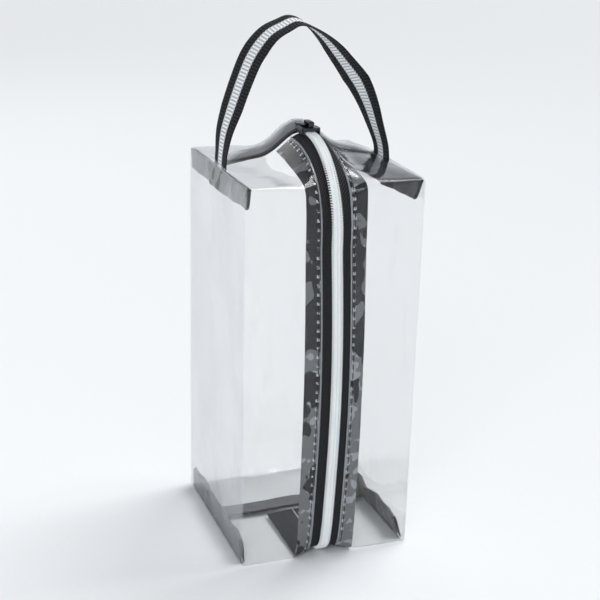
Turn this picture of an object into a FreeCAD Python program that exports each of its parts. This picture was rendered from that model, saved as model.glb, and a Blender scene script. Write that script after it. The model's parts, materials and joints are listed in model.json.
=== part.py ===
import FreeCAD, Part
import math
import os
import Sketcher

# Clear box-shaped makeup bag. It stands on one end, with its zipper running up the middle
# of the front and over both ends. X runs across the front, Y to the back, Z up. The origin
# is on the floor under the middle of the bag.

SIZES = [
    # the bag, a folded sheet of clear film
    ("bag_width", 102),
    ("bag_depth", 112),
    ("bag_height", 222),
    ("film_thickness", 0.5),
    ("top_crown", 18),
    ("bottom_crown", 2.2),
    ("foot_width", 20),
    ("zip_flat", 18),
    ("zip_bend_radius", 48),
    ("zip_foot_bend_radius", 10),
    ("corner_bend_radius", 3),
    ("foot_bend_radius", 6),
    ("zip_opening", 16.5),
    # the zipper: two tapes, each with half of the coil sewn to it
    ("tape_width", 17.5),
    ("tape_thickness", 0.6),
    ("tape_clearance", 0.05),
    ("post_channel", 1.4),
    ("coil_width", 6.2),
    ("coil_height", 2.2),
    # the slider, which holds the coil between two wings
    ("slider_width", 11),
    ("slider_length", 11.5),
    ("wing_thickness", 1.5),
    ("lower_wing_thickness", 1.2),
    ("wing_corner_radius", 2.5),
    ("side_wall", 1.2),
    ("coil_clearance", 0.5),
    ("tape_gap", 0.6),
    ("post_width", 0.8),
    ("post_length", 4),
    ("crown_width", 3),
    ("crown_length", 8.4),
    ("crown_height", 3.4),
    ("crown_wall", 0.8),
    ("spring_thickness", 0.25),
    ("spring_width", 2.2),
    # the pull tab, which turns on a bar through the crown
    ("bar_diameter", 1.1),
    ("bar_height", 1.65),
    ("tab_length", 20),
    ("tab_width", 6.4),
    ("tab_thickness", 1),
    ("tab_droop", 9),
    ("tab_arm_width", 1.2),
    ("tab_clearance", 0.35),
    # the bindings, tapes folded over the raw edges of the seams
    ("binding_width", 12),
    ("binding_thickness", 0.5),
    ("binding_gap", 1.4),
    ("binding_clearance", 0.4),
    ("end_binding_gap", 1.5),
    # the handle, one strap of webbing sewn into the two side seams
    ("strap_width", 22),
    ("strap_thickness", 1.3),
    ("strap_lap_clearance", 0.3),
    ("strap_lap", 3),
    ("sewn_length", 11),
    ("hinge_height", 14.5),
    ("handle_rise", 80),
    ("handle_crown_radius", 26),
    ("handle_crown_shift", -6),
    ("left_leg_radius", 160),
    ("right_leg_radius", 85),
    # the thread
    ("stitch_length", 3.6),
    ("stitch_pitch", 5.2),
    ("stitch_width", 0.45),
    ("stitch_height", 0.3),
    ("stitch_sunk", 0.1),
    ("zip_stitch_inset", 2.2),
    ("seam_stitch_inset", 3.5),
]

os.makedirs("parts", exist_ok=True)
doc = FreeCAD.newDocument("makeup_bag")
sheet = doc.addObject("Spreadsheet::Sheet", "Sizes")
for row, (alias, size) in enumerate(SIZES, start=1):
    sheet.set(f"A{row}", alias)
    sheet.set(f"B{row}", str(size))
    sheet.setAlias(f"B{row}", alias)
doc.recompute()

sub_parts = []

START, END, CENTRE = 1, 2, 3  # the points of a line or arc, as sketch constraints number them
TINY = 1e-6  # two places nearer than this are the same
X_AXIS = FreeCAD.Vector(1, 0, 0)
Y_AXIS = FreeCAD.Vector(0, 1, 0)


def value(expression):
    """The number that an expression of the sheet's sizes gives."""
    return float(sheet.evalExpression(expression))


def new_body(name, place=None, turn=None):
    """A named body. place maps X, Y and Z to expressions; turn is (axis, angle expression)."""
    body = doc.addObject("PartDesign::Body", name)
    body.Label = name
    if turn:
        body.Placement = FreeCAD.Placement(FreeCAD.Vector(), FreeCAD.Rotation(turn[0], 1))
        body.setExpression("Placement.Rotation.Angle", turn[1])
    for letter, expression in (place or {}).items():
        body.setExpression(f"Placement.Base.{letter.lower()}", expression)
    sub_parts.append(body)
    return body


def new_sketch(body, name, plane, offset=None):
    """A sketch on one of the body's origin planes, moved along the plane's normal by offset."""
    sketch = body.newObject("Sketcher::SketchObject", name)
    support = [f for f in body.Origin.OriginFeatures if f.Role == plane][0]
    sketch.AttachmentSupport = [(support, "")]
    sketch.MapMode = "FlatFace"
    if offset:
        sketch.setExpression("AttachmentOffset.Base.z", offset)
    return sketch


def fix_size(sketch, kind, references, expression):
    """A dimension of a sketch, bound to an expression."""
    constraint = Sketcher.Constraint(kind, *references, value(expression))
    index = sketch.addConstraint(constraint)
    sketch.setExpression(f"Constraints[{index}]", expression)


def fix_point(sketch, geometry, point, across, along):
    """Holds a point at two expressions, measured from the sketch's origin."""
    fix_size(sketch, "DistanceX", (-1, 1, geometry, point), across)
    fix_size(sketch, "DistanceY", (-1, 1, geometry, point), along)


def draw(sketch, corners, closed):
    """Draws anticlockwise through corners, each (across, along) or (across, along, radius).

    A radius makes the side that ends at that corner a round one, bulging outwards. Where
    the line isn't closed, the first corner is only its start.
    """
    points = [FreeCAD.Vector(value(c[0]), value(c[1]), 0) for c in corners]
    first = 0 if closed else 1
    for number in range(first, len(corners)):
        start, finish = points[number - 1], points[number]
        geometry = Part.LineSegment(start, finish)
        if len(corners[number]) == 3:
            outwards = (finish - start).cross(FreeCAD.Vector(0, 0, 1)).normalize()
            half_chord = (finish - start).Length / 2
            radius = value(corners[number][2])
            bulge = radius - math.sqrt(radius**2 - half_chord**2)
            geometry = Part.Arc(start, (start + finish) * 0.5 + outwards * bulge, finish)
        side = sketch.addGeometry(geometry)
        fix_point(sketch, side, END, corners[number][0], corners[number][1])
        if side > 0:
            sketch.addConstraint(Sketcher.Constraint("Coincident", side - 1, END, side, START))
        elif not closed:
            fix_point(sketch, side, START, corners[0][0], corners[0][1])
        if len(corners[number]) == 3:
            fix_size(sketch, "Radius", (side,), corners[number][2])
    if closed:
        last = len(corners) - 1
        sketch.addConstraint(Sketcher.Constraint("Coincident", last, END, 0, START))


def outline(sketch, corners):
    draw(sketch, corners, closed=True)
    return sketch


def rectangle(sketch, left, right, low, high):
    return outline(sketch, [(left, low), (right, low), (right, high), (left, high)])


def pad(body, name, sketch, length, midplane=False):
    feature = body.newObject("PartDesign::Pad", name)
    feature.Profile = sketch
    feature.setExpression("Length", length)
    feature.Midplane = midplane
    return feature


def shape_part(name, solids):
    """A sub-part of many separate solids, which share one node."""
    part = doc.addObject("Part::Feature", name)
    part.Label = name
    part.Shape = Part.makeCompound(solids)
    sub_parts.append(part)


# ---------------------------------------------------------------- the clear sheet
# Six upright sections are joined by straight lines. Beside the zipper the section is higher,
# turns over the front and the back in a large bend, and is drawn up off the floor, so that
# the bag stands on the flat feet at its two sides.

FILM = "Sizes.film_thickness"
SIDE = "Sizes.bag_width / 2"
FRONT = "-Sizes.bag_depth / 2"
BACK = "Sizes.bag_depth / 2"
FOOT_EDGE = f"({SIDE} - Sizes.foot_width)"
ZIP_TOP = "(Sizes.bag_height + Sizes.top_crown)"
SLOPE = f"Sizes.foot_width / ({SIDE} - Sizes.zip_flat)"  # how far up the top's slope a foot reaches


def section(body, name, across, top, bend, floor, foot_bend, skin):
    """One section of the bag, inside its outer face by the thickness skin."""
    back, front = f"{BACK} - {skin}", f"{FRONT} + {skin}"
    roof, ground = f"{top} - {skin}", f"{floor} + {skin}"
    turn, foot = f"({bend} - {skin})", f"({foot_bend} - {skin})"
    sketch = new_sketch(body, name, "YZ_Plane", across)
    corners = [
        (f"{back} - {foot}", ground),
        (back, f"{ground} + {foot}", foot),
        (back, f"{roof} - {turn}"),
        (f"{back} - {turn}", roof, turn),
        (f"{front} + {turn}", roof),
        (front, f"{roof} - {turn}", turn),
        (front, f"{ground} + {foot}"),
        (f"{front} + {foot}", ground, foot),
    ]
    return outline(sketch, corners)


def six_sections(body, stem, skin):
    """The bag's sections from left to right. Each is (across, top, bend, floor, foot bend)."""
    corner, large = "Sizes.corner_bend_radius", "Sizes.zip_bend_radius"
    small_foot, zip_foot = "Sizes.foot_bend_radius", "Sizes.zip_foot_bend_radius"
    rising_top = f"(Sizes.bag_height + Sizes.top_crown * {SLOPE})"
    rising_bend = f"({corner} + ({large} - {corner}) * {SLOPE})"
    at_side = (f"({SIDE} - {skin})", "Sizes.bag_height", corner, "0", small_foot)
    at_foot = (FOOT_EDGE, rising_top, rising_bend, "0", small_foot)
    at_zip = ("Sizes.zip_flat", ZIP_TOP, large, "Sizes.bottom_crown", zip_foot)
    rows = [("-", at_side), ("-", at_foot), ("-", at_zip), ("", at_zip), ("", at_foot), ("", at_side)]
    return [
        section(body, f"{stem}_section_{number}", sign + row[0], *row[1:], skin)
        for number, (sign, row) in enumerate(rows)
    ]


def loft(body, kind, name, sketches):
    feature = body.newObject(kind, name)
    feature.Profile = sketches[0]
    feature.Sections = sketches[1:]
    feature.Ruled = True


def body_sheet():
    """One sheet of clear film, round both sides and the back, open along the zipper."""
    body = new_body("body_sheet")
    loft(body, "PartDesign::AdditiveLoft", "outside", six_sections(body, "outer", "0"))
    loft(body, "PartDesign::SubtractiveLoft", "inside", six_sections(body, "inner", FILM))
    opening = new_sketch(body, "zip_opening_outline", "XY_Plane")
    half = "Sizes.zip_opening / 2"
    rectangle(opening, f"-{half}", half, f"{FRONT} - {FILM}", "0")
    feature = body.newObject("PartDesign::Pocket", "zip_opening")
    feature.Profile = opening
    feature.Midplane = True
    feature.setExpression("Length", f"3 * {ZIP_TOP}")


# ---------------------------------------------------------------- the zipper's tapes and coil
# They follow one line: from the top seam over the front bend, down the front, under the bag
# and back to the bottom seam. depth is how far inside the film's outer face the line lies.

TAPE_FACE = f"({FILM} + Sizes.tape_clearance)"


def zip_line(body, name, depth):
    turn = f"(Sizes.zip_bend_radius - {depth})"
    foot = f"(Sizes.zip_foot_bend_radius - {depth})"
    roof, ground = f"{ZIP_TOP} - {depth}", f"Sizes.bottom_crown + {depth}"
    front = f"{FRONT} + {depth}"
    sketch = new_sketch(body, name, "YZ_Plane")
    corners = [
        ("0", roof),
        (f"{front} + {turn}", roof),
        (front, f"{roof} - {turn}", turn),
        (front, f"{ground} + {foot}"),
        (f"{front} + {foot}", ground, foot),
        ("0", ground),
    ]
    draw(sketch, corners, closed=False)
    return sketch


def along_zip(name, sign, near, far, low, high):
    """A strip that follows the zipper line, from near to far across and low to high above."""
    body = new_body(name)
    line = zip_line(body, f"{name}_line", TAPE_FACE)
    profile = new_sketch(body, f"{name}_profile", "XZ_Plane")
    left, right = (f"-{far}", f"-{near}") if sign < 0 else (near, far)
    face = f"{ZIP_TOP} - {TAPE_FACE}"
    rectangle(profile, left, right, f"{face} - {low}", f"{face} + {high}")
    pipe = body.newObject("PartDesign::AdditivePipe", f"{name}_run")
    pipe.Profile = profile
    pipe.Spine = (line, [])


def zipper():
    near = "Sizes.post_channel / 2"
    for side, sign in (("left", -1), ("right", 1)):
        along_zip(f"zip_tape_{side}", sign, near, "Sizes.tape_width", "Sizes.tape_thickness", "0")
        along_zip(f"zip_coil_{side}", sign, near, "Sizes.coil_width / 2", "0", "Sizes.coil_height")


# ---------------------------------------------------------------- the slider
# Its own zero is where the film's outer face would be, at the start of the front bend.

SLIDER_Y = f"{FRONT} + Sizes.zip_bend_radius"
COIL_TOP = f"(Sizes.coil_height - {TAPE_FACE})"
WING_UNDER = f"({COIL_TOP} + Sizes.coil_clearance)"
WING_TOP = f"({WING_UNDER} + Sizes.wing_thickness)"
LOWER_WING = f"-({TAPE_FACE} + Sizes.tape_thickness + Sizes.tape_gap)"


def round_upright_edges(body, name, radius):
    """Rounds every upright edge at the outer corners of the newest feature."""
    doc.recompute()
    tip = body.Tip
    box = tip.Shape.BoundBox
    edges = []
    for number, edge in enumerate(tip.Shape.Edges, start=1):
        ends = [v.Point for v in edge.Vertexes]
        upright = len(ends) == 2 and edge.Length - abs(ends[0].z - ends[1].z) < TINY
        at_corner = all(
            min(p.x - box.XMin, box.XMax - p.x) < TINY and min(p.y - box.YMin, box.YMax - p.y) < TINY
            for p in ends
        )
        if upright and at_corner:
            edges.append(f"Edge{number}")
    feature = body.newObject("PartDesign::Fillet", name)
    feature.Base = (tip, edges)
    feature.setExpression("Radius", radius)


def slider_body():
    body = new_body("slider_body", {"Y": SLIDER_Y, "Z": ZIP_TOP})
    half = "Sizes.slider_width / 2"
    inner = f"({half} - Sizes.side_wall)"
    wall_foot = f"-{TAPE_FACE} + Sizes.tape_gap"
    upper = new_sketch(body, "upper_wing_outline", "XZ_Plane")
    corners = [
        (f"-{half}", wall_foot),
        (f"-{inner}", wall_foot),
        (f"-{inner}", WING_UNDER),
        (inner, WING_UNDER),
        (inner, wall_foot),
        (half, wall_foot),
        (half, WING_TOP),
        (f"-{half}", WING_TOP),
    ]
    pad(body, "upper_wing", outline(upper, corners), "Sizes.slider_length", midplane=True)
    post = new_sketch(body, "post_outline", "XY_Plane", LOWER_WING)
    nose = "(Sizes.slider_length / 2 - Sizes.post_width)"
    thin = "Sizes.post_width / 2"
    rectangle(post, f"-{thin}", thin, f"{nose} - Sizes.post_length", nose)
    pad(body, "post", post, f"{WING_UNDER} - ({LOWER_WING})")
    lower = new_sketch(body, "lower_wing_outline", "XZ_Plane")
    rectangle(lower, f"-{half}", half, f"{LOWER_WING} - Sizes.lower_wing_thickness", LOWER_WING)
    pad(body, "lower_wing", lower, "Sizes.slider_length", midplane=True)
    round_upright_edges(body, "wing_corners", "Sizes.wing_corner_radius")


def slider_crown():
    """The bridge on the slider that the pull tab's bar passes through."""
    body = new_body("slider_crown", {"Y": SLIDER_Y, "Z": f"{ZIP_TOP} + {WING_TOP}"})
    sketch = new_sketch(body, "crown_outline", "YZ_Plane")
    end, wall, top = "Sizes.crown_length / 2", "Sizes.crown_wall", "Sizes.crown_height"
    corners = [
        (f"-{end}", "0"),
        (f"-({end} - {wall})", "0"),
        (f"-({end} - {wall})", f"{top} - {wall}"),
        (f"{end} - {wall}", f"{top} - {wall}"),
        (f"{end} - {wall}", "0"),
        (end, "0"),
        (end, f"{top} - {wall}"),
        (f"{end} - {wall}", top, wall),
        (f"-({end} - {wall})", top),
        (f"-{end}", f"{top} - {wall}", wall),
    ]
    pad(body, "bridge", outline(sketch, corners), "Sizes.crown_width", midplane=True)


def lock_spring():
    """The leaf under the crown's roof that locks the slider while the tab lies down."""
    roof = f"{ZIP_TOP} + {WING_TOP} + Sizes.crown_height - Sizes.crown_wall"
    body = new_body("lock_spring", {"Y": SLIDER_Y, "Z": f"{roof} - Sizes.spring_thickness"})
    sketch = new_sketch(body, "leaf_outline", "XY_Plane")
    across, along = "Sizes.spring_width / 2", "(Sizes.crown_length / 2 - Sizes.crown_wall)"
    rectangle(sketch, f"-{across}", across, f"-{along}", along)
    pad(body, "leaf", sketch, "Sizes.spring_thickness")


def pull_tab():
    """A flat tab with two arms, joined by the bar that turns in the crown."""
    place = {"Y": SLIDER_Y, "Z": f"{ZIP_TOP} + {WING_TOP} + Sizes.bar_height"}
    body = new_body("pull_tab", place, turn=(X_AXIS, "-Sizes.tab_droop"))
    gap = "(Sizes.crown_width / 2 + Sizes.tab_clearance)"
    arm = f"({gap} + Sizes.tab_arm_width)"
    root = "Sizes.bar_diameter / 2"
    window = "(Sizes.crown_length / 2 + 2 * Sizes.tab_clearance)"
    half = "Sizes.tab_width / 2"
    plate = new_sketch(body, "plate_outline", "XY_Plane")
    corners = [
        (f"-{arm}", f"-{root}"),
        (f"-{gap}", f"-{root}"),
        (f"-{gap}", window),
        (gap, window),
        (gap, f"-{root}"),
        (arm, f"-{root}"),
        (arm, window),
        (half, "Sizes.tab_length"),
        (f"-{half}", "Sizes.tab_length"),
        (f"-{arm}", window),
    ]
    pad(body, "plate", outline(plate, corners), "Sizes.tab_thickness", midplane=True)
    bar = new_sketch(body, "bar_outline", "YZ_Plane")
    bar.addGeometry(Part.Circle(FreeCAD.Vector(), FreeCAD.Vector(0, 0, 1), value(root)))
    fix_point(bar, 0, CENTRE, "0", "0")
    fix_size(bar, "Radius", (0,), root)
    pad(body, "bar", bar, f"2 * {arm}", midplane=True)


# ---------------------------------------------------------------- the bindings
# Each is a tape folded over a raw edge: in its own frame the fold is down, its open side is
# at zero, and it runs along Y.

PLY = "Sizes.binding_thickness"
BINDING = f"(Sizes.binding_gap + 2 * {PLY})"
INSIDE = f"({FILM} + Sizes.binding_clearance)"  # how far a binding keeps from the outer face
TOP_SEAM = f"Sizes.bag_depth - 2 * ({FILM} + Sizes.corner_bend_radius)"
BOTTOM_SEAM = f"Sizes.bag_depth - 2 * ({FILM} + Sizes.foot_bend_radius)"


def folded_tape(body, length):
    sketch = new_sketch(body, f"{body.Name}_outline", "XZ_Plane")
    outer, inner = f"{BINDING} / 2", "Sizes.binding_gap / 2"
    fold = "Sizes.binding_width"
    corners = [
        (f"-{outer}", f"-{fold}"),
        (outer, f"-{fold}"),
        (outer, "0"),
        (inner, "0"),
        (inner, f"-({fold} - {PLY})"),
        (f"-{inner}", f"-({fold} - {PLY})"),
        (f"-{inner}", "0"),
        (f"-{outer}", "0"),
    ]
    pad(body, f"{body.Name}_fold", outline(sketch, corners), length, midplane=True)


def corner_bindings():
    """All four lie against the side faces: the top pair hangs and the bottom pair stands."""
    wall = f"({SIDE} - {INSIDE} - {BINDING} / 2)"
    under_top = f"Sizes.bag_height - {INSIDE}"
    rows = [
        ("top_left", {"X": f"-{wall}", "Z": under_top}, "0", TOP_SEAM),
        ("bottom_left", {"X": f"-{wall}", "Z": INSIDE}, "180", BOTTOM_SEAM),
        ("top_right", {"X": wall, "Z": under_top}, "0", TOP_SEAM),
        ("bottom_right", {"X": wall, "Z": INSIDE}, "180", BOTTOM_SEAM),
    ]
    for name, place, angle, length in rows:
        body = new_body(f"{name}_corner_binding", place, turn=(Y_AXIS, angle))
        folded_tape(body, length)


def end_binding(name, under_line):
    """The binding of an end seam, folded flat behind the seam, on a line of (across, up)."""
    body = new_body(name)
    sketch = new_sketch(body, f"{name}_outline", "XZ_Plane", f"-{FILM}")
    over_line = [(across, f"{up} + {BINDING}") for across, up in reversed(under_line)]
    pad(body, f"{name}_fold", outline(sketch, under_line + over_line), "Sizes.binding_width")
    body.getObject(f"{name}_fold").Reversed = True


def end_bindings():
    """They run across each end, from the left corner binding to the right one."""
    reach = f"({SIDE} - {INSIDE} - {BINDING} - Sizes.end_binding_gap)"
    past_flat = f"(Sizes.binding_width + {FILM} + Sizes.zip_bend_radius - {BACK})"
    sink = f"Sizes.zip_bend_radius - sqrt(Sizes.zip_bend_radius ^ 2 - {past_flat} ^ 2)"
    top = f"({ZIP_TOP} - {INSIDE} - {BINDING} - ({sink}))"
    fall = f"Sizes.top_crown / ({SIDE} - Sizes.zip_flat)"
    top_line = [
        (f"-{reach}", f"{top} - ({reach} - Sizes.zip_flat) * {fall}"),
        ("-Sizes.zip_flat", top),
        ("Sizes.zip_flat", top),
        (reach, f"{top} - ({reach} - Sizes.zip_flat) * {fall}"),
    ]
    raised = f"Sizes.bottom_crown + {INSIDE}"
    bottom_line = [
        (f"-{reach}", INSIDE),
        (f"-{FOOT_EDGE}", INSIDE),
        ("-Sizes.zip_flat", raised),
        ("Sizes.zip_flat", raised),
        (FOOT_EDGE, INSIDE),
        (reach, INSIDE),
    ]
    end_binding("top_seam_binding", top_line)
    end_binding("bottom_seam_binding", bottom_line)


# ---------------------------------------------------------------- the handle
# One strap of webbing. Its two ends are sewn into the side seams and stay upright. The loop
# between them leans forward and back, so it is a separate solid that laps each end.

STRAP = "Sizes.strap_thickness"
END_X = f"({SIDE} - {INSIDE} - {BINDING} / 2)"
LOOP_X = f"({END_X} - {STRAP} - Sizes.strap_lap_clearance)"
LEAN_Z = "(Sizes.bag_height + Sizes.hinge_height)"
LOOP_FOOT = f"{LEAN_Z} - Sizes.strap_lap"


def handle_ends():
    for side, sign in (("left", "-"), ("right", "")):
        body = new_body(f"handle_end_{side}", {"X": f"{sign}{END_X}"})
        sewn = "Sizes.bag_height - Sizes.sewn_length"
        sketch = new_sketch(body, f"{body.Name}_outline", "YZ_Plane")
        half = "Sizes.strap_width / 2"
        rectangle(sketch, f"-{half}", half, sewn, f"{LEAN_Z} + Sizes.strap_lap")
        pad(body, f"{body.Name}_webbing", sketch, STRAP, midplane=True)


def meeting_point(centre, crown_centre, crown_radius):
    """Where a leg's arc about centre runs smoothly into the crown's arc."""
    return crown_centre + (crown_centre - centre).normalize() * crown_radius


def leg_centre(foot, leg_radius, crown_centre, crown_radius):
    """The centre of a leg's arc, on the other side of the arch from its foot."""
    reach = leg_radius - crown_radius
    gap = crown_centre - foot
    along = (gap.Length**2 + leg_radius**2 - reach**2) / (2 * gap.Length)
    aside = math.sqrt(leg_radius**2 - along**2)
    across = FreeCAD.Vector(gap.y, -gap.x, 0).normalize()
    if foot.x > 0:
        across = -across
    return foot + gap.normalize() * along + across * aside


def handle_webbing():
    """The loop follows three arcs: a long one up each leg and a small one over the crown."""
    body = new_body("handle_webbing")
    line = new_sketch(body, "loop_line", "XZ_Plane")
    crown_z = f"Sizes.bag_height + Sizes.handle_rise - {STRAP} / 2 - Sizes.handle_crown_radius"
    crown = FreeCAD.Vector(value("Sizes.handle_crown_shift"), value(crown_z), 0)
    crown_radius = value("Sizes.handle_crown_radius")
    right_foot = FreeCAD.Vector(value(LOOP_X), value(LOOP_FOOT), 0)
    left_foot = FreeCAD.Vector(-right_foot.x, right_foot.y, 0)
    right_centre = leg_centre(right_foot, value("Sizes.right_leg_radius"), crown, crown_radius)
    left_centre = leg_centre(left_foot, value("Sizes.left_leg_radius"), crown, crown_radius)
    points = [
        right_foot,
        meeting_point(right_centre, crown, crown_radius),
        meeting_point(left_centre, crown, crown_radius),
        left_foot,
    ]
    centres = [right_centre, crown, left_centre]
    radii = ["Sizes.right_leg_radius", "Sizes.handle_crown_radius", "Sizes.left_leg_radius"]
    for number, (centre, radius) in enumerate(zip(centres, radii)):
        start, finish = points[number], points[number + 1]
        way = ((start + finish) * 0.5 - centre).normalize()
        line.addGeometry(Part.Arc(start, centre + way * value(radius), finish))
        fix_size(line, "Radius", (number,), radius)
    line.addConstraint(Sketcher.Constraint("Tangent", 0, END, 1, START))
    line.addConstraint(Sketcher.Constraint("Tangent", 1, END, 2, START))
    fix_point(line, 0, START, LOOP_X, LOOP_FOOT)
    fix_point(line, 1, CENTRE, "Sizes.handle_crown_shift", crown_z)
    fix_point(line, 2, END, f"-{LOOP_X}", LOOP_FOOT)
    profile = new_sketch(body, "webbing_section", "XY_Plane", LOOP_FOOT)
    half, thin = "Sizes.strap_width / 2", f"{STRAP} / 2"
    rectangle(profile, f"{LOOP_X} - {thin}", f"{LOOP_X} + {thin}", f"-{half}", half)
    pipe = body.newObject("PartDesign::AdditivePipe", "webbing")
    pipe.Profile = profile
    pipe.Spine = (line, [])


# ---------------------------------------------------------------- the thread
# Every stitch is a solid of its own, bedded a little into what it holds.


def stitch(place):
    """One stitch, lying along its own Y on the face at its own zero."""
    width, length, height = (value(f"Sizes.stitch_{part}") for part in ("width", "length", "height"))
    corner = FreeCAD.Vector(-width / 2, -length / 2, -value("Sizes.stitch_sunk"))
    solid = Part.makeBox(width, length, height, corner)
    solid.Placement = place
    return solid


def zip_stitches():
    """A row beside each edge of the opening, through the film and the tape."""
    line = doc.getObject("zip_tape_left_line").Shape.Wires[0]
    points = line.discretize(Distance=value("Sizes.stitch_pitch"))
    if points[0].z < points[-1].z:
        points.reverse()
    inset = value("Sizes.zip_opening / 2 + Sizes.zip_stitch_inset")
    for side, across in (("left", -inset), ("right", inset)):
        solids = []
        for start, finish in zip(points, points[1:]):
            back = start - finish
            lean = math.degrees(math.atan2(back.z, back.y))
            turn = FreeCAD.Rotation(X_AXIS, lean)
            middle = (start + finish) * 0.5 + turn.multVec(FreeCAD.Vector(0, 0, value(TAPE_FACE)))
            middle.x = across
            solids.append(stitch(FreeCAD.Placement(middle, turn)))
        shape_part(f"zip_stitches_{side}", solids)


def corner_stitches():
    """A row along each corner binding, near its fold."""
    solids = []
    pitch = value("Sizes.stitch_pitch")
    to_face = FreeCAD.Rotation(Y_AXIS, -90)
    fold = value("Sizes.binding_width - Sizes.seam_stitch_inset")
    for name in ("top_left", "top_right", "bottom_left", "bottom_right"):
        binding = doc.getObject(f"{name}_corner_binding")
        run = binding.Shape.BoundBox.YLength - pitch
        count = int(run / pitch)
        for number in range(count + 1):
            along = (number - count / 2) * pitch
            spot = FreeCAD.Vector(-value(f"{BINDING} / 2"), along, -fold)
            local = FreeCAD.Placement(spot, to_face)
            solids.append(stitch(binding.Placement.multiply(local)))
    shape_part("corner_stitches", solids)


def check_and_write():
    for item in doc.Objects:
        if "Invalid" in item.State or "Error" in item.State:
            raise RuntimeError(f"{item.Label} failed to build: {item.State}")
    for part in sub_parts:
        if part.Shape.isNull() or not part.Shape.isValid():
            raise RuntimeError(f"{part.Label} has no valid shape")
        part.Shape.exportStep(f"parts/{part.Label}.step")
        print(part.Label, len(part.Shape.Solids), "solids,", round(part.Shape.Volume, 1), "mm3")


body_sheet()
zipper()
slider_body()
slider_crown()
lock_spring()
pull_tab()
corner_bindings()
end_bindings()
handle_ends()
handle_webbing()
doc.recompute()
zip_stitches()
corner_stitches()
doc.recompute()
check_and_write()
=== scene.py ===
import json
import math

import bmesh
import bpy
import numpy as np
from mathutils import Matrix, Vector


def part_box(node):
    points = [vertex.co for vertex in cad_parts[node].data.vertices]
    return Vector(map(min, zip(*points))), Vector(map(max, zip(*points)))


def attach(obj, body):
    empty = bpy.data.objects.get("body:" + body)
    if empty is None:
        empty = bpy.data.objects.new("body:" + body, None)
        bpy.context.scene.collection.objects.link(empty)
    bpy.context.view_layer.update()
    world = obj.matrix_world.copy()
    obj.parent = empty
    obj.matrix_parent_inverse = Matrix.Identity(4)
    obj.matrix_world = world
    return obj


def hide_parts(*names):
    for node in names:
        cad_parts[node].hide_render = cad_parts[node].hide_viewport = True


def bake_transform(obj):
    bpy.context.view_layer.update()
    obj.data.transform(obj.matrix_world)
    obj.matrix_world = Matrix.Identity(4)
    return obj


# The visual model of a clear, box-shaped makeup bag that stands on one end. Everything is in
# metres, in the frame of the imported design: X across the front, Y to the back, Z up.

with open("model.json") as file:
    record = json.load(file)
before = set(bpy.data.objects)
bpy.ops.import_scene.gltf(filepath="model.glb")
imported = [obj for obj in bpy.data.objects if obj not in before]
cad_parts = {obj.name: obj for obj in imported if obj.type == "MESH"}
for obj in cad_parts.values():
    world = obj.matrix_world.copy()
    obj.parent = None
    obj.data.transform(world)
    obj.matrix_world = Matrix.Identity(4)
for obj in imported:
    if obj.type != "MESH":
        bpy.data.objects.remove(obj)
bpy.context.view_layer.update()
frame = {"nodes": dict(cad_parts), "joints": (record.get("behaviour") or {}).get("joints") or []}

MM = 0.001

# ---------------------------------------------------------------- sizes read from the frame

HALF_WIDTH, HALF_DEPTH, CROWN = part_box("body_sheet")[1]
corner_low, corner_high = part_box("top_left_corner_binding")
SHOULDER = corner_high[2] + HALF_WIDTH + corner_low[0]  # height of the film at the side edges
tape_low, tape_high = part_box("zip_tape_right")
TAPE_INNER, TAPE_REACH = tape_low[0], tape_high[0]
_, STRAP_HALF_WIDTH, HANDLE_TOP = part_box("handle_webbing")[1]
hinges = {joint["name"]: joint["pos_m"] for joint in frame["joints"]}
HANDLE_HINGE_Z = hinges["handle_swing"][2]
ZIP_BEND_Z = hinges["slider_travel"][2]

ZIP_BEND = CROWN - ZIP_BEND_Z  # radius of the bend from the front face to the top
ZIP_FOOT_BEND = 10 * MM
stitch_low, stitch_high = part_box("zip_stitches_right")
STITCH_LINE = (stitch_low[0] + stitch_high[0]) / 2  # the zipper's stitches, from its middle
HEM = 2.2 * MM  # from the film's edge to the stitches
OPENING_HALF = STITCH_LINE - HEM
FILM_EDGE_HIGHLIGHT = OPENING_HALF + 0.9 * MM  # the outer side of the painted highlight along the film's edge
STITCH_LENGTH, STITCH_PITCH, STITCH_RADIUS = 3.6 * MM, 5.2 * MM, 0.27 * MM
STRAP_RIB = 2.0 * MM
FILM = 0.45 * MM
EDGE_ROUND = 1.2 * MM
ZIP_FLOOR = 2.2 * MM  # how far the film under the zipper is drawn up off the floor
FLOOR_GAP = 0.15 * MM

# ---------------------------------------------------------------- the surface of the bag
# The film wraps round the front, the top, the back and the bottom. Each upright section is a
# loop that starts at the top seam, runs down the front, under the bag and up the back. Beside
# the zipper the loop turns in large bends; away from it the film folds at the box's edges.

ARC_POINTS = 24
TOP_POINTS, WALL_POINTS, FOOT_POINTS = 64, 46, 40
HALF_COUNT = TOP_POINTS + WALL_POINTS - 2 + FOOT_POINTS
UPPER_END = ZIP_BEND_Z - 2 * MM  # where the top's part of a loop meets the wall's part
LOWER_END = 13 * MM  # where the wall's part meets the foot's part
TOP_SPREAD, FOOT_SPREAD = 15 * MM, 13 * MM  # how far the zipper's bends reach sideways
HUMP_HEIGHT, HUMP_DEPTH, HUMP_WIDTH = 5.0 * MM, 22 * MM, 42 * MM
CREASE_WIDTH, CREASE_FADE = 1.3 * MM, 12 * MM
CENTRE_SPREAD = 20 * MM  # the film beside the zipper bows with it, and waves less, out to here
WALL_MARGIN, TOP_MARGIN = 3 * MM, 15 * MM  # how near its plane a point counts as wall or top
FOOT_STILL, FOOT_EASE = 4 * MM, 20 * MM  # no waves below the first; they grow over the second
DRIFT_DOWN, DRIFT_FOOT = 2.6 * MM, 2.0 * MM  # how far the zipper bows aside, and back at its foot

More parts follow.
